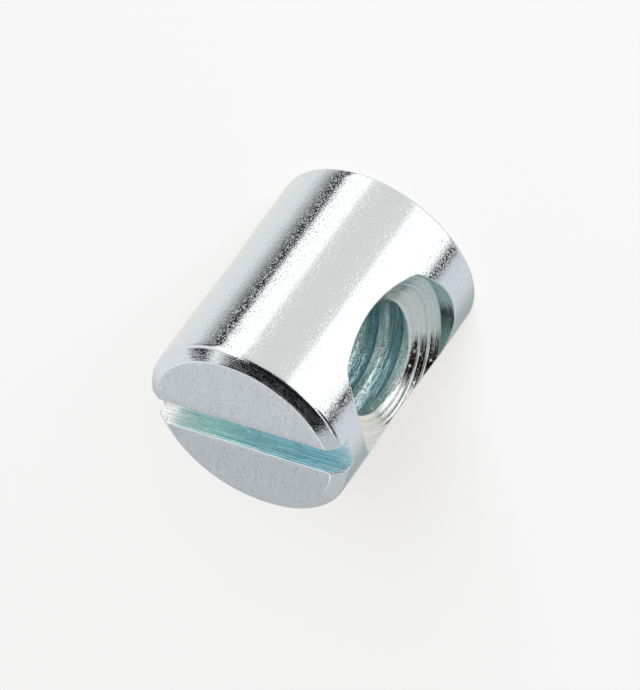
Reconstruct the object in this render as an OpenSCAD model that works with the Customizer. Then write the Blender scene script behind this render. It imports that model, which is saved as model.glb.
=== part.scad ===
// Cross dowel (barrel nut): a turned steel barrel with a threaded hole across it
// and a driver slot in one end. It goes into a round hole in a panel's face, and
// a furniture bolt from the panel's edge screws into it.
// The barrel stands on its plain end, with its axis along +Z and the slotted end
// up. The cross hole and the driver slot both run along X.

/* [Barrel] */
// Outside diameter of the barrel
barrel_d = 10; // [8:0.1:16]
// Length of the barrel, from the plain end to the slotted end
barrel_l = 12; // [11:0.1:30]

/* [Barrel ends] */
// Width of the chamfer round the slotted end, across the face
chamfer_w = 0.6; // [0.3:0.05:1.2]
// Height of that chamfer, down the side
chamfer_h = 0.4; // [0.2:0.05:1.2]
// Radius of the rolled corner between the chamfer and the side
shoulder_r = 0.3; // [0.05:0.05:0.5]
// Radius of the broken edge round the plain end
edge_r = 0.15; // [0.05:0.05:0.5]

/* [Driver slot] */
// Width of the saw cut
slot_w = 1.5; // [0.8:0.1:2.5]
// Depth of the saw cut below the slotted end
slot_depth = 0.9; // [0.5:0.1:2]
// How far the middle of the saw cut lies off the barrel's axis, along +Y
slot_shift = -0.15; // [-0.5:0.05:0.5]

/* [Cross hole] */
// Minor diameter of the hole's thread, 1/4-20 UNC
thread_minor_d = 5.2; // [3:0.05:7]
// How far the hole's axis lies from the barrel's middle, towards the slotted end
hole_shift = -0.1; // [-1:0.05:1]

/* [Countersinks] */
// Diameter of the drill that opens both mouths of the hole
sink_d = 8.2; // [7.2:0.1:10]
// Included angle of that drill's point
sink_angle = 118; // [60:1:150]
// Depth of the straight part of each mouth, below the crown of the side
sink_depth = 0.8; // [0.2:0.05:1.5]

/* [Hidden] */
$fn = 128;
PAST = 1; // how far each cutter runs past the surface that it opens

barrel_r = barrel_d / 2;
hole_z = barrel_l / 2 + hole_shift;
sink_floor = barrel_r - sink_depth; // where the straight mouth ends, from the barrel's axis
cone_h = (sink_d - thread_minor_d) / 2 / tan(sink_angle / 2);

// The shoulder's arc touches the side and the chamfer at this distance from their corner
chamfer_turn = atan2(chamfer_w, chamfer_h);
shoulder_run = shoulder_r * tan(chamfer_turn / 2);
corner_z = barrel_l - chamfer_h;

// Half of the barrel's section: X is the radius and Y is the height
module barrel_section() {
    difference() {
        polygon([
            [0, 0],
            [barrel_r, 0],
            [barrel_r, corner_z],
            [barrel_r - chamfer_w, barrel_l],
            [0, barrel_l]
        ]);
        plain_end_corner();
        shoulder_corner();
    }
}

// What a quarter-round takes off the corner of the plain end
module plain_end_corner() {
    difference() {
        translate([barrel_r - edge_r, -PAST]) square([edge_r + PAST, edge_r + PAST]);
        translate([barrel_r - edge_r, edge_r]) circle(r = edge_r);
    }
}

// What the rolled shoulder takes off the corner between the chamfer and the side
module shoulder_corner() {
    on_side = [barrel_r, corner_z - shoulder_run];
    on_chamfer = [
        barrel_r - shoulder_run * sin(chamfer_turn),
        corner_z + shoulder_run * cos(chamfer_turn)
    ];
    difference() {
        polygon([on_side, [barrel_r + PAST, corner_z], [barrel_r, barrel_l], on_chamfer]);
        translate(on_side - [shoulder_r, 0]) circle(r = shoulder_r);
    }
}

// The saw cut runs right across the end
module driver_slot() {
    translate([-barrel_r - PAST, slot_shift - slot_w / 2, barrel_l - slot_depth])
        cube([barrel_d + 2 * PAST, slot_w, slot_depth + PAST]);
}

// The thread's minor bore goes right through, and its helix starts inside the mouths
module cross_hole() {
    translate([0, 0, hole_z])
        rotate([0, 90, 0])
            cylinder(d = thread_minor_d, h = barrel_d + 2 * PAST, center = true);
}

// A drill opens one mouth: its body leaves a straight wall and its point a cone
module countersink() {
    translate([0, 0, hole_z])
        rotate([0, 90, 0])
            rotate_extrude()
                polygon([
                    [0, sink_floor - cone_h],
                    [thread_minor_d / 2, sink_floor - cone_h],
                    [sink_d / 2, sink_floor],
                    [sink_d / 2, barrel_r + PAST],
                    [0, barrel_r + PAST]
                ]);
}

module barrel() {
    color([0.78, 0.82, 0.84])
        difference() {
            rotate_extrude() barrel_section();
            driver_slot();
            cross_hole();
            countersink();
            mirror([1, 0, 0]) countersink();
        }
}

barrel();
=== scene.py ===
# %% [markdown]
# # A cross dowel of zinc-plated steel
#
# A cross dowel, or barrel nut, is a short steel barrel with a threaded hole across it.
# It sits in a hole in a panel, and a bolt from the panel's edge screws into it.
# This lesson dresses the measured solid: one closed surface of the same size takes its place,
# with the thread, the broken edges and the tool marks that the plain solid leaves out.
# Loading the frame first gives the box that the surface has to stay in.

import math

import bpy
import numpy as np
from mathutils import Matrix


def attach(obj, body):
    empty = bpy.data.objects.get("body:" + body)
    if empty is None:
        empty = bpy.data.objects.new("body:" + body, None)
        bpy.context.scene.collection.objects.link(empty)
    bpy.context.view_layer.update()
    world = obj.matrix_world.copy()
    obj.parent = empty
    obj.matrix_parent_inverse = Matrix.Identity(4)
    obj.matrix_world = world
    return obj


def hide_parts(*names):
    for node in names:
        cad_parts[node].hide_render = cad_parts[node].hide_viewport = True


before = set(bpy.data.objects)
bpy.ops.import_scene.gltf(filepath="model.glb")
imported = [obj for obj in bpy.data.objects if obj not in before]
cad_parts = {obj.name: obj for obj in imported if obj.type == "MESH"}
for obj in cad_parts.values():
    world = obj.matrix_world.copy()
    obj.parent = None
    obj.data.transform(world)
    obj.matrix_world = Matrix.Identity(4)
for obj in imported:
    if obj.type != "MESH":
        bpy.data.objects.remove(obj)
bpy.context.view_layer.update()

# %% [markdown]
# The real barrel is turned from 10 mm bar, chamfered, sawn across for a screwdriver,
# drilled through with a countersink at both mouths, and tapped 1/4-20.
# Every size is written once, in millimetres, and everything after it is worked out from these.
# The object is small, so millimetres are easier to read than metres. Blender works in metres,
# so a length is multiplied by one millimetre in metres wherever it is handed over.

# %% Sizes in millimetres
one_mm = 0.001
mm_per_metre = 1000.0
barrel_radius = 5.0
barrel_length = 12.0
chamfer_width = 0.6
chamfer_height = 0.4
shoulder_radius = 0.3
plain_edge_radius = 0.15
slot_high_y = 0.6
slot_low_y = -0.9
slot_floor_z = 11.1
hole_z = 5.9
minor_radius = 2.6
groove_depth = 0.56
thread_pitch = 1.27
crest_width = 0.35
crest_x_at_start = 2.05
crest_start_angle = math.radians(-100.0)
sink_radius = 4.1
sink_half_angle = math.radians(59.0)
sink_seat_x = 4.2
edge_break = 0.045
print("barrel", 2 * barrel_radius, "by", barrel_length, "mm, bore", 2 * minor_radius, "mm")

# %% [markdown]
# The surface is made of patches. Each patch is a grid of points worked out from two numbers,
# and neighbouring patches compute their shared edge from the same formula,
# so their points fall on each other and can be merged into one closed skin.
# A second grid of two numbers, in millimetres, goes with each patch: the first runs the way
# the cutting tool ran, and the second runs across it. The finishes use it for their tool marks.

# %% Collect patches
SIDE, CHAMFER, FACE, SLOT, MOUTH, THREAD = range(6)
patches = []


def stack(*parts):
    """Puts arrays of x, y and z, or of the two map numbers, together as one array of points."""
    return np.stack(np.broadcast_arrays(*parts), axis=-1)


def add_patch(points, cut_map, zone, flip=False):
    """Keeps a grid of points, its cut map and its zone; flip reverses the rows to turn faces over."""
    zone = np.broadcast_to(zone, (points.shape[0] - 1, points.shape[1] - 1))
    step = -1 if flip else 1
    patches.append((points[::step], cut_map[::step], zone[::step]))


def add_both_halves(points, cut_map, zone, flip=False):
    """Keeps a grid and its mirror image in x; the image turns inside out, so it is flipped back."""
    add_patch(points, cut_map, zone, flip)
    mirror = np.array([-1.0, 1.0, 1.0])
    half_way_round = np.array([math.pi * barrel_radius, 0.0])
    mirrored_map = half_way_round + cut_map * np.array([-1.0, 1.0])
    add_patch(points * mirror, mirrored_map, zone, not flip)


def between(start, end, shares):
    """Rows on the straight line from start to end: start times (1 - t) plus end times t."""
    t = np.asarray(shares, float)
    t = t.reshape(t.shape + (1,) * np.ndim(start))
    return start * (1.0 - t) + end * t


def round_over(start, corner, end, steps=4):
    """Rows of the quadratic curve that leaves start towards corner and reaches end from it."""
    t = np.linspace(0.0, 1.0, steps + 1)
    t = t.reshape(t.shape + (1,) * np.ndim(start))
    return start * (1 - t) ** 2 + corner * 2 * t * (1 - t) + end * t**2


# %% [markdown]
# The columns of the side run round the hole. Unrolled, each half of the barrel's side is a
# rectangle with the hole's rim inside it, and a column is a straight line from the rim to the
# rectangle's border. The top border has points exactly at the slot's two edges.
# This is surer than cutting a hole into a cylinder, and the rows follow the rim.

# %% Columns round the hole
slot_high_turn = math.asin(slot_high_y / barrel_radius)
slot_low_turn = math.asin(slot_low_y / barrel_radius)
quarter = math.pi / 2
land_points = 43
slot_points = 13
low_points = 97
upright_points = 49
land_high_turns = np.linspace(quarter, slot_high_turn, land_points)
floor_turns = np.linspace(slot_high_turn, slot_low_turn, slot_points)
land_low_turns = np.linspace(slot_low_turn, -quarter, land_points)
low_turns = np.linspace(-quarter, quarter, low_points)
upright_z = np.linspace(plain_edge_radius, slot_floor_z, upright_points)
top_turns = np.concatenate([land_high_turns[:-1], floor_turns[:-1], land_low_turns[:-1]])
border_turn = np.concatenate([
    np.full(upright_points - 1, quarter),
    top_turns,
    np.full(upright_points - 1, -quarter),
    low_turns,
])
border_z = np.concatenate([
    upright_z[:-1],
    np.full(len(top_turns), slot_floor_z),
    upright_z[:0:-1],
    np.full(len(low_turns), plain_edge_radius),
])
angles = np.unwrap(np.arctan2(border_z - hole_z, barrel_radius * border_turn))
print("columns round the hole:", len(angles) - 1)

# %% [markdown]
# A 1/4-20 thread is a 60 degree groove that climbs 1.27 mm a turn, right-handed, and the tap
# drill's bore is left between its turns as flat crests. A helix could be swept along the hole,
# but a radius that depends on the place along the hole and the angle round it is simpler,
# and it can be compared with the countersink's radius at every point.

# %% Radius of the tapped wall
flank_slope = math.sqrt(3.0)
groove_softness = 0.04
rolled_x = 2.2
rolled_length = 0.4
rolled_angle = math.radians(172.0)
rolled_turn = 0.4
rolled_share = 0.45
thread_reach_x = 3.6
filled_from_x = 2.55
filling_range = 0.4


def soft_ramp(height):
    """Zero below zero and the height itself above it, with a rounded start (a softened ramp)."""
    return groove_softness * np.logaddexp(0.0, height / groove_softness)


def crest_x(angle):
    """Place of a thread crest's middle along the hole: it moves one pitch in each full turn."""
    return crest_x_at_start + thread_pitch * (angle - crest_start_angle) / (2 * math.pi)


def tapped_wall(x, angle):
    """Radius of the threaded bore: the minor radius plus a groove between each pair of crests.

    A groove is a ramp of slope root 3 (a 30 degree flank) from the crest's edge on either side,
    stopped at the groove's depth. One flank is rolled over near the mouth, where the tap went in
    twice: its slope is less by a share that falls off as a bell curve along and round the hole.
    The last groove fades out where it would start too close to the mouth to have bore in front.
    """
    out = np.abs(x)
    turned = np.mod(x - crest_x(angle), thread_pitch)
    outward = np.where(x < 0, thread_pitch - turned, turned)
    round_by = np.mod(angle - rolled_angle + math.pi, 2 * math.pi) - math.pi
    rolled = np.exp(-(((out - rolled_x) / rolled_length) ** 2) - (round_by / rolled_turn) ** 2)
    inner_climb = (outward - crest_width / 2) * flank_slope * (1.0 - rolled_share * rolled)
    outer_climb = (thread_pitch - outward - crest_width / 2) * flank_slope
    climb = np.minimum(inner_climb, outer_climb)
    groove = soft_ramp(climb) - soft_ramp(climb - groove_depth)
    crest_edge = crest_width / 2 + np.where(x < 0, -1.0, 1.0) * crest_x(angle)
    last_edge = thread_reach_x - np.mod(thread_reach_x - crest_edge, thread_pitch)
    filled = np.clip((last_edge - filled_from_x) / filling_range, 0.0, 1.0) * (out > last_edge)
    return minor_radius + groove * (1.0 - filled)


groove_diameter = 2 * (minor_radius + groove_depth)
print("the groove is", groove_depth, "mm deep, so it is", round(groove_diameter, 2), "mm across")

# %% [markdown]
# A drill with a 118 degree point opens each mouth. It leaves a straight wall and, below it, a cone
# that goes down to the bore. The tap left a steep lip at the cone's foot. All of them are radii
# again, and the smallest of them is where metal is left standing.

# %% Radius of the countersink
cone_slope = math.tan(sink_half_angle)
cone_start_x = sink_seat_x - (sink_radius - minor_radius) / cone_slope
lip_middle_x = 3.183
lip_lean = 0.207
lip_lean_angle = math.radians(-125.0)
lip_slope = 4.0
ring_radii = (3.19, 3.59)
ring_depth = 0.025
ring_half_width = 0.045


def sunk_wall(x, angle):
    """Radius of the countersink: the drill's straight wall, and a cone with a steep lip at its foot.

    The lip leans, so its place along the hole is a cosine of the angle round it. The drill
    chattered, which left two shallow rings in the cone: bell curves added to its radius.
    """
    out = np.abs(x)
    cone = minor_radius + (out - cone_start_x) * cone_slope
    for ring in ring_radii:
        cone = cone + ring_depth * np.exp(-(((cone - ring) / ring_half_width) ** 2))
    lip_x = lip_middle_x + lip_lean * np.cos(angle - lip_lean_angle)
    lip = minor_radius + (out - lip_x) * lip_slope
    return np.minimum(np.minimum(cone, lip), sink_radius)


print("the cone starts at", round(cone_start_x, 3), "mm from the barrel's axis")

# %% [markdown]
# The drill and the tap each take metal away, so the wall of the finished hole is the larger of
# the two radii. Plating rounds the corner between them a little.

# %% Wall of the hole
mouth_softness = 0.06


def hole_radius(x, angle):
    """The larger of the two walls, never above the drill's, with the corner between them eased.

    For walls a and b it is half of a plus b plus the root of (a - b) squared plus softness squared.
    """
    tapped = tapped_wall(x, angle)
    sunk = sunk_wall(x, angle)
    return np.minimum((tapped + sunk + np.hypot(tapped - sunk, mouth_softness)) / 2, sink_radius)


def hole_points(x, angle):
    """Points of the hole's wall: y and z are the radius times cosine and sine of the angle."""
    radius = hole_radius(x, angle)
    return stack(x, radius * np.cos(angle), hole_z + radius * np.sin(angle))


middle_radius = hole_radius(0.0, 0.0)
print("the radius half-way through, on the +Y side, is", round(float(middle_radius), 3), "mm")

# %% [markdown]
# The rim is where the countersink breaks through the round side. Its distance from the barrel's
# axis has no short formula, so it is found by halving an interval 40 times, for all columns
# at once.
# Above and below, the drill's straight wall meets the side; left and right, its cone does.

# %% Rim of the mouths
halvings = 40
surely_inside_x = 3.0
near_x = np.full(angles.shape, surely_inside_x)
far_x = np.full(angles.shape, barrel_radius)
for _ in range(halvings):
    middle_x = (near_x + far_x) / 2
    cone_radius = minor_radius + (middle_x - cone_start_x) * cone_slope
    reach = np.minimum(cone_radius, sink_radius) * np.cos(angles)
    inside = middle_x**2 + reach**2 < barrel_radius**2
    near_x = np.where(inside, middle_x, near_x)
    far_x = np.where(inside, far_x, middle_x)
rim_x = near_x
rim_radius = np.minimum(minor_radius + (rim_x - cone_start_x) * cone_slope, sink_radius)
rim = stack(rim_x, rim_radius * np.cos(angles), hole_z + rim_radius * np.sin(angles))
rim_turn = np.arcsin(rim[:, 1] / barrel_radius)
print("rim from", round(rim_x.min(), 3), "to", round(rim_x.max(), 3), "mm out")

# %% [markdown]
# The side starts a few hundredths of a millimetre outside the rim, because a cut edge that has
# been tumbled and plated is never sharp. The rounded strip between side and mouth is what
# catches the thin bright line round the hole.

# %% Barrel side and its rounded rims
unrolled_rim = stack(barrel_radius * rim_turn, rim[:, 2])
unrolled_border = stack(barrel_radius * border_turn, border_z)
first_share = edge_break / np.linalg.norm(unrolled_border - unrolled_rim, axis=-1)
side_rows = 15
crowding_at_rim = 1.3
row_shares = np.linspace(0.0, 1.0, side_rows)[:, None] ** crowding_at_rim
row_shares = first_share + (1.0 - first_share) * row_shares
unrolled = unrolled_rim + (unrolled_border - unrolled_rim) * row_shares[..., None]
side_turn = unrolled[..., 0] / barrel_radius
side = stack(barrel_radius * np.cos(side_turn), barrel_radius * np.sin(side_turn), unrolled[..., 1])
add_both_halves(side, unrolled, SIDE, flip=True)

wall_length = np.maximum(rim_x - sink_seat_x, 0.0)
on_wall = np.minimum(wall_length, edge_break)
wall_start_x = rim_x - on_wall - (edge_break - on_wall) * math.cos(sink_half_angle)
print("side rows:", len(side), "and the mouths start at", round(wall_start_x.min(), 3), "mm")

# %% [markdown]
# Each mouth is the straight wall left by the drill, its cone, and the first turn of the thread
# running out into that cone. The rows get very close together where the thread runs out.
# The thread itself lies on rows that climb with it, so its crests are clean lines and not steps.
# At the ends those rows are held at the mouth's last row, and squeezed faces are dropped later.

# %% Mouths, thread and rims
thread_end_x = 3.28
run_out_x = 3.70
wall_rows = 6
outer_cone_rows = 12
run_out_rows = 30
rows_per_ring = 7
ring_reach = 1.8
mouth_map_radius = 3.4
ring_steps = ring_half_width * np.linspace(-ring_reach, ring_reach, rows_per_ring)
ring_row_radii = (np.array(ring_radii)[:, None] + ring_steps).ravel()
ring_rows = cone_start_x + (ring_row_radii - minor_radius) / cone_slope
outer_rows = np.linspace(sink_seat_x, run_out_x, outer_cone_rows)[1:]
inner_rows = np.linspace(run_out_x, thread_end_x, run_out_rows)
all_rows = np.concatenate([outer_rows, inner_rows, ring_rows])
cone_rows = np.unique(np.round(all_rows, 5))[::-1, None]


def mouth_rows(sign):
    """Rows of one mouth, from the rim inwards: straight wall, then cone and thread's run-out."""
    wall_end_x = np.minimum(wall_start_x, sink_seat_x)
    wall = between(wall_start_x, wall_end_x, np.linspace(0, 1, wall_rows))
    return sign * np.concatenate([wall, np.minimum(wall[-1], cone_rows)])


def wall_zone(x):
    """The zone of every face between these points: tapped where the thread's wall is the larger."""
    return np.where(tapped_wall(x, angles) > sunk_wall(x, angles), THREAD, MOUTH)[1:, 1:]


for sign in (1, -1):
    rows_x = mouth_rows(sign)
    mouth = hole_points(rows_x, angles)
    slant = np.abs(rows_x) / math.cos(sink_half_angle)
    mouth_map = stack(mouth_map_radius * angles, slant)
    add_patch(mouth, mouth_map, wall_zone(rows_x), flip=sign < 0)
    rounded = round_over(side[0] * [sign, 1, 1], rim * [sign, 1, 1], mouth[0])
    rounded_map = stack(barrel_radius * np.arcsin(rounded[..., 1] / barrel_radius), rounded[..., 2])
    add_patch(rounded, rounded_map, SIDE, flip=sign < 0)

turns_each_way = 5
thread_map_radius = 2.9
half_rows = np.array([0.08, 0.13, 0.16, 0.19, 0.25, 0.32, 0.40, 0.455, 0.50, 0.56])
one_pitch = np.concatenate([-half_rows[::-1], [0.0], half_rows, [thread_pitch / 2]])
turns = np.arange(-turns_each_way, turns_each_way + 1) * thread_pitch
from_crest = (turns[:, None] + one_pitch).ravel()
climbing_x = from_crest[:, None] + crest_x(angles) - crest_x_at_start
thread_x = np.clip(climbing_x, -thread_end_x, thread_end_x)
thread = hole_points(thread_x, angles)
thread_map = stack(thread_map_radius * angles, from_crest[:, None])
add_patch(thread, thread_map, wall_zone(thread_x), flip=True)
print("thread rows:", len(thread_x), "of which", len(one_pitch), "to a pitch")

# %% [markdown]
# The slotted end is two D-shaped lands. Going up, the barrel's profile is the side, a rolled
# shoulder, a shallow chamfer, a tiny rounded corner and then the flat face.
# Each land sweeps that profile round from one edge of the slot to the other.

# %% Profile of the slotted end
chamfer_tilt = math.atan2(chamfer_width, chamfer_height)
chamfer_out = math.sin(chamfer_tilt)
chamfer_up = math.cos(chamfer_tilt)
shoulder_z = barrel_length - chamfer_height - shoulder_radius * math.tan(chamfer_tilt / 2)
face_radius = barrel_radius - chamfer_width
side_steps = 4
shoulder_points = 9
chamfer_steps = 4
bend = np.linspace(0.0, chamfer_tilt, shoulder_points)
shoulder = stack(
    barrel_radius - shoulder_radius + shoulder_radius * np.cos(bend),
    shoulder_z + shoulder_radius * np.sin(bend),
)
corner_start = np.array([
    face_radius + edge_break * chamfer_out,
    barrel_length - edge_break * chamfer_up,
])
chamfer_line = between(shoulder[-1], corner_start, np.linspace(0, 1, chamfer_steps + 1)[1:])
corner = np.array([face_radius, barrel_length])
corner_end = np.array([face_radius - edge_break, barrel_length])
inner_corner = round_over(corner_start, corner, corner_end)[1:]
side_levels = stack(barrel_radius, np.linspace(slot_floor_z, shoulder_z, side_steps + 1)[:-1])
profile = np.concatenate([side_levels, shoulder, chamfer_line, inner_corner])
profile_run = np.concatenate([[0.0], np.cumsum(np.linalg.norm(np.diff(profile, axis=0), axis=1))])
edge_size = edge_break * np.clip(np.arange(len(profile)) / side_steps, 0.0, 1.0)
ring_zone = np.where(np.arange(len(profile) - 1) < side_steps, SIDE, CHAMFER)
print("profile rings:", len(profile), "shoulder from", round(shoulder_z, 3), "mm up")

# %% [markdown]
# The lands' columns fan out, so that the first and the last of each lie on the slot's edge.
# Both faces have a fine straight grain, as a grinding belt leaves it, turned 12 degrees from
# square to the slot.

# %% Lands
land_columns = 2 * (land_points - 1)
face_rows = 9
face_grain_turn = math.radians(12.0)


def add_land(edge_y, sign):
    """One land: ring points are its radius times cosine and sine of a turn that starts at the slot.

    Returns the rings and the line where the face ends at the slot.
    """
    rho = profile[:, :1]
    start_turn = np.arcsin((edge_y + edge_size[:, None]) / rho)
    turn = start_turn + (math.pi - 2 * start_turn) * np.linspace(0, 1, land_columns + 1)
    rings = stack(rho * np.cos(turn), sign * rho * np.sin(turn), profile[:, 1:])
    ring_map = stack(sign * barrel_radius * turn, slot_floor_z + profile_run[:, None])
    add_patch(rings, ring_map, ring_zone[:, None], flip=sign < 0)

    slot_line = stack(rings[-1, :, 0], sign * (edge_y + edge_break), barrel_length)
    face = between(rings[-1], slot_line, np.linspace(0, 1, face_rows))
    grain_map = stack(
        math.sin(face_grain_turn) * face[..., 0] + math.cos(face_grain_turn) * face[..., 1],
        math.cos(face_grain_turn) * face[..., 0] - math.sin(face_grain_turn) * face[..., 1],
    )
    add_patch(face, grain_map, FACE, flip=sign < 0)
    return rings, slot_line


print("each land has", land_columns, "columns")

# %% [markdown]
# The saw leaves a straight-walled slot, 0.15 mm off the middle. Its long edges are broken by the
# same few hundredths as the rim, and this break fades out down the slot's ends.
# The wall below it is flat, with upright columns, and the floor's columns join the two walls.

# %% Slot edges, walls and floor
floor_map_shift = [0.0, 7.0]


def add_slot_wall(edge_y, sign, rings, slot_line):
    """The broken edge and the wall of the slot along one land.

    The wall's top is the slot's sharp edge line, moved square to itself by the size of the break,
    and its other points lie straight below. Returns its bottom line, which the floor then uses.
    """
    inner = rings[-1, 1:-1, 0]
    ring_x = np.sqrt(profile[:, 0] ** 2 - edge_y**2)
    corner_x = np.concatenate([ring_x, inner, -ring_x[::-1]])
    corner_z = np.concatenate([profile[:, 1], np.full(len(inner), barrel_length), profile[::-1, 1]])
    size = np.concatenate([edge_size, np.full(len(inner), edge_break), edge_size[::-1]])
    out_x = np.gradient(corner_z)
    out_z = -np.gradient(corner_x)
    length = np.hypot(out_x, out_z)
    wall_x = corner_x - size * out_x / length
    wall_z = corner_z - size * out_z / length
    upper = np.concatenate([rings[:, 0], slot_line[1:-1], rings[::-1, -1]])
    corner_line = stack(corner_x, sign * edge_y, corner_z)
    wall_line = stack(wall_x, sign * edge_y, wall_z)
    broken = round_over(upper, corner_line, wall_line)
    add_patch(broken, broken[..., ::2], CHAMFER, flip=sign < 0)

    top = wall_line[side_steps:len(wall_line) - side_steps]
    foot = top * [1, 1, 0] + [0, 0, slot_floor_z]
    wall = between(top, foot, np.linspace(0, 1, side_steps + 1))
    wall[:, 0] = wall_line[side_steps::-1]
    wall[:, -1] = wall_line[len(wall_line) - side_steps - 1:]
    add_patch(wall, wall[..., ::2], SLOT, flip=sign < 0)
    return wall[-1, :, 0]


high_foot = add_slot_wall(slot_high_y, 1, *add_land(slot_high_y, 1))
low_foot = add_slot_wall(-slot_low_y, -1, *add_land(-slot_low_y, -1))
floor_y = barrel_radius * np.sin(floor_turns)[:, None]
share = (slot_high_y - floor_y) / (slot_high_y - slot_low_y)
floor_x = high_foot * (1 - share) + low_foot * share
floor_x = floor_x * np.sqrt(barrel_radius**2 - floor_y**2) / floor_x[:, :1]
floor = stack(floor_x, floor_y, slot_floor_z)
add_patch(floor, floor[..., :2] + floor_map_shift, SLOT)
print("slot wall columns:", len(high_foot))

# %% [markdown]
# The plain end has a small rounded edge, and then goes flat to its middle, where the last row
# shrinks to one point and its squeezed faces become triangles.

# %% Plain end
edge_steps = 6
face_radii = np.array([4.2, 3.4, 2.6, 1.8, 1.0, 0.4, 0.0])
end_map_shift = 20.0
edge_turn = np.linspace(0.0, quarter, edge_steps + 1)
end_profile = np.concatenate([
    stack(
        barrel_radius - plain_edge_radius * (1 - np.cos(edge_turn)),
        plain_edge_radius * (1 - np.sin(edge_turn)),
    ),
    stack(face_radii, 0.0),
])
end_radius = end_profile[:, :1]
plain_end = stack(
    end_radius * np.cos(low_turns),
    end_radius * np.sin(low_turns),
    end_profile[:, 1:],
)
end_zone = np.where(np.arange(len(end_profile) - 1) < edge_steps, SIDE, FACE)[:, None]
end_map = stack(barrel_radius * low_turns, end_radius + end_map_shift)
add_both_halves(plain_end, end_map, end_zone, flip=True)
print("plain end rows:", len(end_profile))

# %% [markdown]
# Now the patches become one mesh. Points that fall on each other are merged, and a face that has
# lost a corner becomes a triangle or disappears.
# Points are compared after rounding to a twenty-thousandth of a millimetre. A small offset keeps
# round sizes away from the places where rounding goes up or down.

# %% Merge the patches
steps_per_mm = 20000.0
rounding_offset = 0.137
all_points = np.concatenate([p.reshape(-1, 3) for p, _, _ in patches])
all_map = np.concatenate([m.reshape(-1, 2) for _, m, _ in patches])
rounded_points = np.round(all_points * steps_per_mm + rounding_offset).astype(np.int64)
_, first, joined = np.unique(rounded_points, axis=0, return_index=True, return_inverse=True)
joined = joined.ravel()
corner_lists = []
zone_list = []
start = 0
for points, _, zone in patches:
    grid = start + np.arange(points.shape[0] * points.shape[1]).reshape(points.shape[:2])
    corners = np.stack([grid[:-1, :-1], grid[:-1, 1:], grid[1:, 1:], grid[1:, :-1]], axis=-1)
    corner_lists.append(corners.reshape(-1, 4))
    zone_list.append(zone.ravel())
    start += points.shape[0] * points.shape[1]
quads = np.concatenate(corner_lists)
zones = np.concatenate(zone_list)
merged = joined[quads]
lost = merged == np.roll(merged, -1, axis=1)
whole = ~lost.any(axis=1)
three = lost.sum(axis=1) == 1
triangles = quads[three][~lost[three]].reshape(-1, 3)
face_zones = np.concatenate([zones[whole], zones[three]])
corners = np.concatenate([quads[whole].ravel(), triangles.ravel()])
merged_quads = joined[quads[whole]]
merged_triangles = joined[triangles]
faces = merged_quads.tolist() + merged_triangles.tolist()
triangle_count = 2 * len(merged_quads) + len(merged_triangles)
print("points", len(first), "faces", len(faces), "triangles", triangle_count)

# %% [markdown]
# In a closed skin every edge is used twice, once in each direction. So counting the edges proves
# that there is no gap, and that no face looks the other way from its neighbours.

# %% Check that the skin is closed
edges = np.concatenate([
    np.stack([merged_quads, np.roll(merged_quads, -1, axis=1)], axis=-1).reshape(-1, 2),
    np.stack([merged_triangles, np.roll(merged_triangles, -1, axis=1)], axis=-1).reshape(-1, 2),
])
forward = edges[:, 0] * len(first) + edges[:, 1]
backward = edges[:, 1] * len(first) + edges[:, 0]
open_edges = len(np.setxor1d(forward, backward))
repeated = len(forward) - len(np.unique(forward))
print("open edges", open_edges, "repeated edges", repeated)

# %% [markdown]
# Blender gets the mesh in metres, with its faces sorted by finish. The cut map becomes a UV map,
# kept per face corner, so that it may jump where two cuts meet although the points are shared.
# The piece then stands for the solid, which stays hidden behind it for collision.

# %% Make the barrel piece
sharp_angle = math.radians(38.0)
mesh = bpy.data.meshes.new("dowel_barrel")
mesh.from_pydata(all_points[first] * one_mm, [], faces)
cut_uv = mesh.uv_layers.new(name="cut")
cut_uv.uv.foreach_set("vector", all_map[corners].astype(np.float32).ravel())
mesh.polygons.foreach_set("material_index", face_zones.astype(np.int32))
mesh.polygons.foreach_set("use_smooth", np.ones(len(faces), bool))
mesh.set_sharp_from_angle(angle=sharp_angle)
mesh.update()
dowel = bpy.data.objects.new("dowel_barrel", mesh)
bpy.context.scene.collection.objects.link(dowel)
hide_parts("barrel")
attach(dowel, "root")
print("barrel piece:", len(mesh.vertices), "points,", len(mesh.polygons), "faces")

# %% [markdown]
# One helper adds every node: it takes the node's kind, its settings, and what feeds each input,
# either a number, a colour or another node's output. A second one turns the hex value that a
# paint program shows into the linear colour that the shader reads.


# %% Node helper and colours
def add_node(tree, kind, settings=None, feeds=None):
    """Adds a node, sets its properties, and fills or links its inputs; returns the node."""
    node = tree.nodes.new(kind)
    for name, value in (settings or {}).items():
        setattr(node, name, value)
    for key, value in (feeds or {}).items():
        if isinstance(value, bpy.types.NodeSocket):
            tree.links.new(value, node.inputs[key])
        else:
            node.inputs[key].default_value = value
    return node


def hex_colour(code):
    """Linear colour of an sRGB hex code: ((c + 0.055) / 1.055) to the power 2.4 above the toe."""
    parts = [int(code[i:i + 2], 16) / 255 for i in (1, 3, 5)]
    linear = [c / 12.92 if c <= 0.04045 else ((c + 0.055) / 1.055) ** 2.4 for c in parts]
    return (*linear, 1.0)


print("the mid grey #808080 is", round(hex_colour("#808080")[0], 3), "in linear light")


# %% [markdown]
# Bright zinc plating is a mirror with a fine skin: nodules of zinc stand on it, it has a few pits,
# and the tool marks of the steel under it still show. So its bump has three heights.
# Slope is what the eye sees in a mirror, so each height is given as a slope times a width.
# Pits sit one to a cell of 0.35 mm and reach a fifth of that out from their middle. A real nodule
# is about 0.02 mm wide, too fine to show, so nodules are drawn three times coarser or more.

# %% Skin of the plating
pit_cell = 0.35
pit_edge_width = 0.05
pit_floor_share = 0.08
pit_rim_share = 0.22
nodule_rise = 0.25


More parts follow.
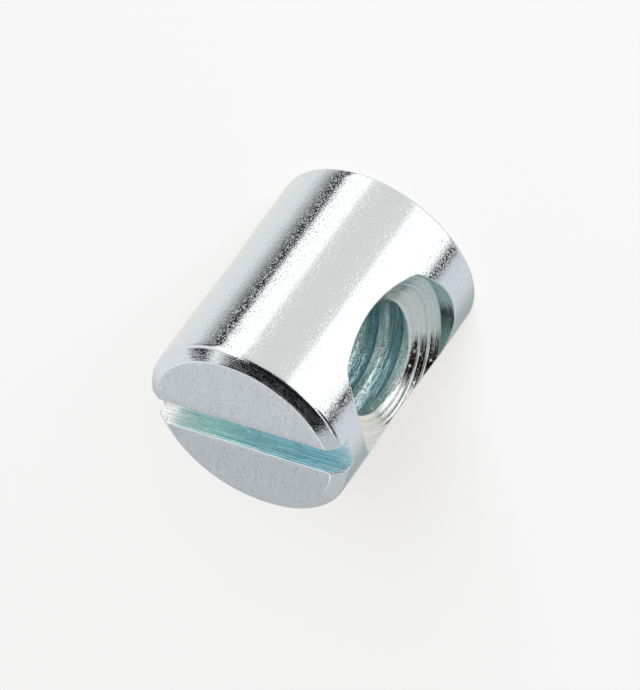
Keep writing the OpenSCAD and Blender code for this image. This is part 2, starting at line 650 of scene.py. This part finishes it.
def skin_normal(tree, place, streaks, nodules, marks, pits):
    """The direction of the plated surface, bumped by tool marks, nodules and pits in turn.

    nodules are the width in mm, the slope and the share of the height that stays flat; marks are
    the length and width in mm and the slope of a tool mark; pits is the slope of a pit's edge.
    """
    _, mark_width, mark_slope = marks
    nodule_width, nodule_slope, flat_share = nodules
    fine = add_node(tree, "ShaderNodeTexNoise", None,
                    {"Vector": place, "Scale": mm_per_metre / nodule_width, "Detail": 1.0,
                     "Roughness": 0.5})
    nodule = add_node(tree, "ShaderNodeMapRange", {"interpolation_type": "SMOOTHSTEP"},
                      {"Value": fine.outputs["Fac"], "From Min": flat_share,
                       "From Max": flat_share + nodule_rise})
    spots = add_node(tree, "ShaderNodeTexVoronoi", None,
                     {"Vector": place, "Scale": mm_per_metre / pit_cell})
    pit_depth = add_node(tree, "ShaderNodeMapRange", {"interpolation_type": "SMOOTHSTEP"},
                         {"Value": spots.outputs["Distance"], "From Min": pit_floor_share,
                          "From Max": pit_rim_share})
    normal = None
    for height, width, slope in (
        (streaks, mark_width, mark_slope),
        (nodule.outputs["Result"], nodule_width, nodule_slope),
        (pit_depth.outputs["Result"], pit_edge_width, pits),
    ):
        feeds = {"Height": height, "Strength": 1.0, "Distance": slope * width * one_mm}
        if normal is not None:
            feeds["Normal"] = normal
        normal = add_node(tree, "ShaderNodeBump", None, feeds).outputs["Normal"]
    return normal


print("pits reach", round(pit_cell * pit_rim_share, 3), "mm out from their middle")


# %% [markdown]
# A clear blue passivate is a film that tints the zinc. It could be a coat over the metal,
# but a film this thin shows only as a colour of the reflection, so it is a colour that changes
# with a distance. Some of these colours are painted light: the deeper teal in the bottom of the
# thread's groove is painted shade over the passivate's teal, and the pale far end of the slot
# is a painted highlight. Noise mostly stays between 0.3 and 0.7, so that range makes the film
# thinner or thicker by its variation.

# %% Film over the plating, and painted light
noise_low = 0.3
noise_high = 0.7


def film_and_painted_light_colour(tree, place, unevenness, bare, film, layers):
    """The metal's colour under the film: a blend from the bare colour to each layer's in turn.

    bare is the metal's colour where the film is thinnest. film says how its thickness is measured:
    the axes and the origin, in mm, of a distance, and how much the unevenness varies it.
    layers are colours, each with the distances in mm where it sets in and is full. Most are the
    film's; some are painted shade or a painted highlight.
    """
    axes, origin, variation = film
    offset = [-part * one_mm for part in origin]
    from_origin = add_node(tree, "ShaderNodeVectorMath", {"operation": "MULTIPLY_ADD"},
                           {0: place, 1: axes, 2: offset})
    distance = add_node(tree, "ShaderNodeVectorMath", {"operation": "LENGTH"},
                        {0: from_origin.outputs[0]})
    varied = add_node(tree, "ShaderNodeMapRange", {"clamp": False},
                      {"Value": unevenness, "From Min": noise_low, "From Max": noise_high,
                       "To Min": -variation, "To Max": variation})
    colour = hex_colour(bare)
    # Each layer is the film's own colour, except in the thread's groove (painted shade) and at the
    # slot's far end (a painted highlight).
    for code, sets_in, full in layers:
        layer_ramp = add_node(tree, "ShaderNodeMapRange", {"clamp": False},
                         {"Value": distance.outputs["Value"], "From Min": sets_in * one_mm,
                          "From Max": full * one_mm})
        share = add_node(tree, "ShaderNodeMath", {"operation": "ADD", "use_clamp": True},
                         {0: layer_ramp.outputs["Result"], 1: varied.outputs["Result"]})
        colour = add_node(tree, "ShaderNodeMix", {"data_type": "RGBA"},
                          {0: share.outputs[0], 6: colour, 7: hex_colour(code)}).outputs[2]
    return colour


# %% [markdown]
# Every cut surface gets the same plating and shows it differently, so one recipe makes a finish
# from a cut's own numbers. The tool marks are noise stretched along the cut map. Clouds 2.2 mm wide
# and the tool marks make the film uneven, and the clouds dull the mirror here and there.

# %% The plated finish
cloud_width = 2.2
streaks_in_film = 0.6
haze_spread = 0.2


def zinc_finish(name, bare, film, layers, roughness, nodules, marks, pits):
    """A plated, passivated steel surface: one metal shader under the film's colour and the skin.

    bare, film and layers are as in film_and_painted_light_colour, and nodules, marks and pits as in skin_normal.
    """
    material = bpy.data.materials.new(name)
    material.use_nodes = True
    tree = material.node_tree
    tree.nodes.clear()

    place = add_node(tree, "ShaderNodeTexCoord").outputs["Object"]
    cut = add_node(tree, "ShaderNodeUVMap", {"uv_map": "cut"}).outputs["UV"]
    cloud = add_node(tree, "ShaderNodeTexNoise", None,
                     {"Vector": place, "Scale": mm_per_metre / cloud_width, "Detail": 3.0})
    mark_length, mark_width, _ = marks
    stretch = add_node(tree, "ShaderNodeVectorMath", {"operation": "MULTIPLY"},
                       {0: cut, 1: (1.0 / mark_length, 1.0 / mark_width, 1.0)})
    streaks = add_node(tree, "ShaderNodeTexNoise", {"noise_dimensions": "2D"},
                       {"Vector": stretch.outputs[0], "Scale": 1.0, "Detail": 3.0,
                        "Roughness": 0.6}).outputs["Fac"]
    uneven = add_node(tree, "ShaderNodeMix", None,
                      {0: streaks_in_film, 2: cloud.outputs["Fac"], 3: streaks})

    colour = film_and_painted_light_colour(tree, place, uneven.outputs[0], bare, film, layers)
    normal = skin_normal(tree, place, streaks, nodules, marks, pits)
    haze = add_node(tree, "ShaderNodeMapRange", None,
                    {"Value": cloud.outputs["Fac"], "To Min": roughness * (1.0 - haze_spread),
                     "To Max": roughness * (1.0 + haze_spread)})
    shader = add_node(tree, "ShaderNodeBsdfPrincipled", None,
                      {"Base Color": colour, "Metallic": 1.0, "Roughness": haze.outputs["Result"],
                       "Normal": normal})
    add_node(tree, "ShaderNodeOutputMaterial", None, {"Surface": shader.outputs[0]})
    mesh.materials.append(material)
    print(name, bare, "under", len(layers), "film colours, roughness", roughness)


# %% [markdown]
# The six finishes follow how each surface was made: turned, chamfered, faced, sawn, drilled or
# tapped. They are added in the order of the zones, so that each zone's number picks its finish.

# %% Six finishes for six cuts
along_x = ((1.0, 0.0, 0.0), (-5.0, 0.0, 0.0))
along_y = ((0.0, 1.0, 0.0), (0.0, -5.0, 0.0))
from_hole_axis = ((0.0, 1.0, 1.0), (0.0, 0.0, hole_z))

# Bright zinc over a turned side: a near mirror whose bands break up into fine grit at their edges.
zinc_finish("turned_bright_zinc", "#f7f8f8", (*along_y, 0.3), [("#f0f3f4", 0.0, 10.0)], 0.06,
            nodules=(0.07, 0.07, 0.52), marks=(0.5, 0.05, 0.09), pits=0.08)

# Bright zinc over the chamfer: the sharpest mirror, with light scratches round it.
zinc_finish("chamfered_bright_zinc", "#f4f5f6", (*along_y, 0.3), [("#eef1f3", 0.0, 10.0)], 0.05,
            nodules=(0.07, 0.03, 0.52), marks=(2.5, 0.05, 0.10), pits=0.05)

# Matt zinc over a faced end: a satin grey, a little darker towards -Y, with a fine straight grain
# and a few pits.
zinc_finish("faced_matt_zinc", "#f2f5f7", (*along_y, 0.3), [("#e1e6e9", 7.0, 3.5)], 0.30,
            nodules=(0.07, 0.12, 0.45), marks=(4.0, 0.05, 0.55), pits=0.35)

# Zinc in the saw cut, where the blue passivate pooled: it runs from white over green to blue.
# The pale last colour, where the cut opens at its far end, is a painted highlight.
zinc_finish("sawn_blue_zinc", "#f6f6f4", (*along_x, 0.8),
            [("#d6f0ed", 0.8, 1.6), ("#c2e6f0", 2.5, 8.0), ("#eaf8fa", 8.6, 10.2)], 0.12,
            nodules=(0.06, 0.05, 0.50), marks=(6.0, 0.09, 0.48), pits=0.1)

# Zinc over the drilled mouth: grey rings on the cone, and a thicker, teal film on the wall past it.
zinc_finish("drilled_grey_zinc", "#f4f3f0", (*from_hole_axis, 0.5),
            [("#c6d3d2", 2.0, 6.0), ("#9fc4c6", 4.0, 4.15)], 0.09,
            nodules=(0.06, 0.04, 0.52), marks=(40.0, 0.20, 0.12), pits=0.2)

# Zinc in the thread: mottled, rough, and teal from the passivate. The deeper teal towards the
# bottom of the groove is painted shade.
zinc_finish("tapped_teal_zinc", "#daecea", (*from_hole_axis, 0.6), [("#badfe5", 2.7, 3.1)], 0.20,
            nodules=(0.10, 0.20, 0.50), marks=(1.5, 0.07, 0.50), pits=0.5)

# %% [markdown]
# The floor is a pale sheet that takes the object's shadow. To the camera, two thirds of it is an
# even near-white of strength 1, so the backdrop stays pale and the shadow faint. A mirror standing
# on it would show only floor, so the polished metal looks past it into the studio instead.

# %% Floor
half_floor = 3.0
even_share = 0.67
floor_mesh = bpy.data.meshes.new("floor")
floor_mesh.from_pydata(
    [(-half_floor, -half_floor, 0), (half_floor, -half_floor, 0), (half_floor, half_floor, 0),
     (-half_floor, half_floor, 0)],
    [], [(0, 1, 2, 3)],
)
floor_object = bpy.data.objects.new("floor", floor_mesh)
bpy.context.scene.collection.objects.link(floor_object)
floor_object.visible_glossy = False
floor_material = bpy.data.materials.new("pale_matt_board")
floor_material.use_nodes = True
tree = floor_material.node_tree
tree.nodes.clear()
board = add_node(tree, "ShaderNodeBsdfDiffuse", None, {"Color": hex_colour("#f4f4f4")})
glow = add_node(tree, "ShaderNodeEmission", None, {"Color": hex_colour("#faf8f4"), "Strength": 1.0})
floor_path = add_node(tree, "ShaderNodeLightPath")
glow_share = add_node(tree, "ShaderNodeMath", {"operation": "MULTIPLY"},
                      {0: floor_path.outputs["Is Camera Ray"], 1: even_share})
lit = add_node(tree, "ShaderNodeMixShader", None,
               {0: glow_share.outputs[0], 1: board.outputs[0], 2: glow.outputs[0]})
add_node(tree, "ShaderNodeOutputMaterial", None, {"Surface": lit.outputs[0]})
floor_mesh.materials.append(floor_material)
print("floor", 2 * half_floor, "m square")

# %% [markdown]
# The studio round the metal is a ring of tall panels: white soft boxes, pale walls between them,
# dark gaps, and a ceiling that is black in front and grey behind. Only glossy rays see them.
# First the world's directions become two angles. Azimuth is measured from the camera's side, and
# runs anticlockwise seen from above.

# %% Directions in the studio
camera_azimuth = 56.84
world = bpy.data.worlds.new("studio")
bpy.context.scene.world = world
world.use_nodes = True
tree = world.node_tree
tree.nodes.clear()
direction = add_node(tree, "ShaderNodeTexCoord").outputs["Generated"]
turned = add_node(tree, "ShaderNodeVectorRotate", {"rotation_type": "Z_AXIS"},
                  {"Vector": direction, "Angle": math.radians(-camera_azimuth)})
parts = add_node(tree, "ShaderNodeSeparateXYZ", None, {0: turned.outputs[0]})
around = add_node(tree, "ShaderNodeMath", {"operation": "ARCTAN2"},
                  {0: parts.outputs[1], 1: parts.outputs[0]})
azimuth = add_node(tree, "ShaderNodeMath", {"operation": "DEGREES"},
                   {0: around.outputs[0]}).outputs[0]
rise = add_node(tree, "ShaderNodeMath", {"operation": "ARCSINE"}, {0: parts.outputs[2]})
elevation = add_node(tree, "ShaderNodeMath", {"operation": "DEGREES"},
                     {0: rise.outputs[0]}).outputs[0]
print("azimuth 0 of the studio is at", camera_azimuth, "degrees from the +X axis")

# %% [markdown]
# A panel could be an emitting sheet of mesh, but painted on the world it has exact edges in
# degrees, it never gets into a picture, and a soft edge is one smooth step on each side.


# %% One panel
def add_panel(behind, tint, brightness, az_from, az_to, el_from, el_to, soft):
    """Paints one panel over the studio: a window in azimuth and elevation with soft edges.

    soft is half the width of the edge at az_from, at az_to, and at both elevations.
    """
    mask = 1.0
    for angle, edge, softness, inward in (
        (azimuth, az_from, soft[0], 1),
        (azimuth, az_to, soft[1], -1),
        (elevation, el_from, soft[2], 1),
        (elevation, el_to, soft[2], -1),
    ):
        start = edge - softness * inward
        end = edge + softness * inward
        step = add_node(tree, "ShaderNodeMapRange", {"interpolation_type": "SMOOTHSTEP"},
                        {"Value": angle, "From Min": start, "From Max": end})
        mask = add_node(tree, "ShaderNodeMath", {"operation": "MULTIPLY"},
                        {0: mask, 1: step.outputs["Result"]}).outputs[0]
    colour = tuple(part * brightness for part in hex_colour(tint)[:3]) + (1.0,)
    panel = add_node(tree, "ShaderNodeMix", {"data_type": "RGBA"}, {0: mask, 6: behind, 7: colour})
    return panel.outputs[2]


# %% [markdown]
# Each row is a panel's tint and brightness, its edges in degrees, and the softness of the edges.
# A later row is painted over an earlier one. A tall pale panel beside a narrow dark gap gives the
# turned side its bright and dark bands, and the ceiling gives the chamfer its dark one.

# %% The panels
panels = (
    ("#d6dae2", 1.0, -125.0, -72.0, -95.0, -8.0, (15.0, 1.0, 4.0)),
    ("#c0c8c9", 1.0, -150.0, -80.0, -12.0, 60.0, (10.0, 6.0, 6.0)),
    ("#a3aeae", 1.0, -172.0, -124.0, -95.0, -6.0, (8.0, 20.0, 8.0)),
    ("#ebe7df", 1.0, 150.0, 190.0, -95.0, 0.0, (20.0, 1.0, 8.0)),
    ("#b7bbbd", 1.0, 160.0, 190.0, -15.0, 34.0, (10.0, 1.0, 6.0)),
    ("#b6bcbb", 1.0, -190.0, -166.0, -95.0, -4.0, (1.0, 6.0, 8.0)),
    ("#b7bbbd", 1.0, -190.0, -146.0, -15.0, 34.0, (1.0, 14.0, 6.0)),
    ("#f4f6f8", 1.0, 155.0, 190.0, 31.0, 95.0, (8.0, 1.0, 3.0)),
    ("#f4f6f8", 1.0, -190.0, -148.0, 31.0, 95.0, (1.0, 8.0, 3.0)),
    ("#1c1f22", 1.0, 75.0, 97.0, -95.0, -4.0, (0.8, 17.0, 6.0)),
    ("#ffffff", 1.25, 47.0, 75.5, -95.0, 58.0, (3.5, 0.8, 3.0)),
    ("#dcdedb", 1.0, -5.0, 47.0, -95.0, 60.0, (3.5, 3.5, 3.0)),
    ("#ffffff", 1.25, -57.0, -5.0, -95.0, 60.0, (2.0, 3.5, 3.0)),
    ("#0a0a0a", 1.0, -71.5, -59.5, -70.0, -16.0, (0.8, 1.0, 4.0)),
    ("#1c1210", 1.0, -79.0, -43.0, -12.0, 20.0, (1.0, 3.0, 3.0)),
    ("#e4e2de", 1.0, -190.0, 190.0, -95.0, -50.0, (1.0, 1.0, 6.0)),
    ("#26222c", 1.0, 94.0, 123.5, 34.0, 48.7, (2.0, 1.0, 0.8)),
    ("#ffffff", 1.0, 98.0, 110.0, 48.5, 57.0, (2.0, 1.5, 1.0)),
    ("#1a1a1c", 1.0, -73.0, 54.0, 35.0, 95.0, (5.0, 3.0, 4.0)),
    ("#1a1a1c", 1.0, -96.0, -60.0, 50.0, 95.0, (2.0, 2.0, 3.0)),
    ("#1a1a1c", 1.0, -190.0, 190.0, 58.5, 95.0, (1.0, 1.0, 1.5)),
    ("#aaaeae", 1.0, 105.0, 190.0, 68.0, 95.0, (10.0, 1.0, 4.0)),
    ("#aaaeae", 1.0, -190.0, -105.0, 68.0, 95.0, (1.0, 10.0, 4.0)),
)
studio = hex_colour("#e3e7e9")
for tint, brightness, az_from, az_to, el_from, el_to, soft in panels:
    studio = add_panel(studio, tint, brightness, az_from, az_to, el_from, el_to, soft)
print("panels in the studio:", len(panels))

# %% [markdown]
# The world shows a different face to each kind of ray: glossy rays get the studio, the camera gets
# a near-white backdrop, and all other rays get an even mid grey, which lights the floor.

# %% Backdrop and even light
light_path = add_node(tree, "ShaderNodeLightPath")
seen = add_node(tree, "ShaderNodeMix", {"data_type": "RGBA"},
                {0: light_path.outputs["Is Camera Ray"], 6: hex_colour("#969696"),
                 7: hex_colour("#f8f8f8")})
mirrored = add_node(tree, "ShaderNodeMix", {"data_type": "RGBA"},
                    {0: light_path.outputs["Is Glossy Ray"], 6: seen.outputs[2], 7: studio})
background = add_node(tree, "ShaderNodeBackground", None,
                      {"Color": mirrored.outputs[2], "Strength": 1.0})
add_node(tree, "ShaderNodeOutputWorld", None, {"Surface": background.outputs[0]})
print("nodes in the world:", len(tree.nodes))

# %% [markdown]
# A large soft lamp gives the floor its faint shadow. It leaves reflections alone.

# %% Key light
lamp_data = bpy.data.lights.new("key", "AREA")
lamp_data.shape = "DISK"
lamp_data.size = 0.80
lamp_data.energy = 18.3
lamp_data.color = (0.95, 1.0, 1.11)
lamp = bpy.data.objects.new("key", lamp_data)
bpy.context.scene.collection.objects.link(lamp)
lamp.visible_glossy = False
lamp_azimuth = math.radians(68.0)
lamp_elevation = math.radians(26.0)
lamp_distance = 1.0


def towards(azimuth_angle, elevation_angle):
    """The unit direction with that azimuth and elevation."""
    flat = math.cos(elevation_angle)
    return np.array([
        flat * math.cos(azimuth_angle),
        flat * math.sin(azimuth_angle),
        math.sin(elevation_angle),
    ])


def look_along(item, place, forward, roll=0.0):
    """Stands an object at a place, looking along forward, with its up turned by roll."""
    up = np.array([0.0, 0.0, 1.0]) - forward * forward[2]
    up = up / np.linalg.norm(up)
    right = np.cross(forward, up)
    turned_up = up * math.cos(roll) + right * math.sin(roll)
    matrix = np.eye(4)
    matrix[:3, 0] = np.cross(forward, turned_up)
    matrix[:3, 1] = turned_up
    matrix[:3, 2] = -forward
    matrix[:3, 3] = place
    item.matrix_world = Matrix(matrix.tolist())


lamp_direction = towards(lamp_azimuth, lamp_elevation)
look_along(lamp, lamp_direction * lamp_distance, -lamp_direction)
print("key lamp", lamp_data.size, "m wide, at", lamp_distance, "m")

# %% [markdown]
# The camera is a long lens a third of a metre away, looking down 32 degrees at the slotted end
# and one mouth of the hole. It is rolled, because the barrel lies on its side to the eye.

# %% Camera
aim = np.array([0.355, -0.190, 5.936]) * one_mm
camera_distance = 0.33303
camera_elevation = 32.006
camera_roll = math.radians(143.959)
camera_direction = towards(math.radians(camera_azimuth), math.radians(camera_elevation))
camera_data = bpy.data.cameras.new("camera")
camera_data.lens = 390.05
camera_data.sensor_width = 36.0
camera_data.clip_start = 0.01
camera_data.clip_end = 20.0
camera = bpy.data.objects.new("camera", camera_data)
bpy.context.scene.collection.objects.link(camera)
look_along(camera, aim + camera_direction * camera_distance, -camera_direction, camera_roll)
bpy.context.scene.camera = camera
bpy.context.scene.view_settings.view_transform = "Standard"
print("camera", round(camera_distance, 3), "m away,", camera_elevation, "degrees up")
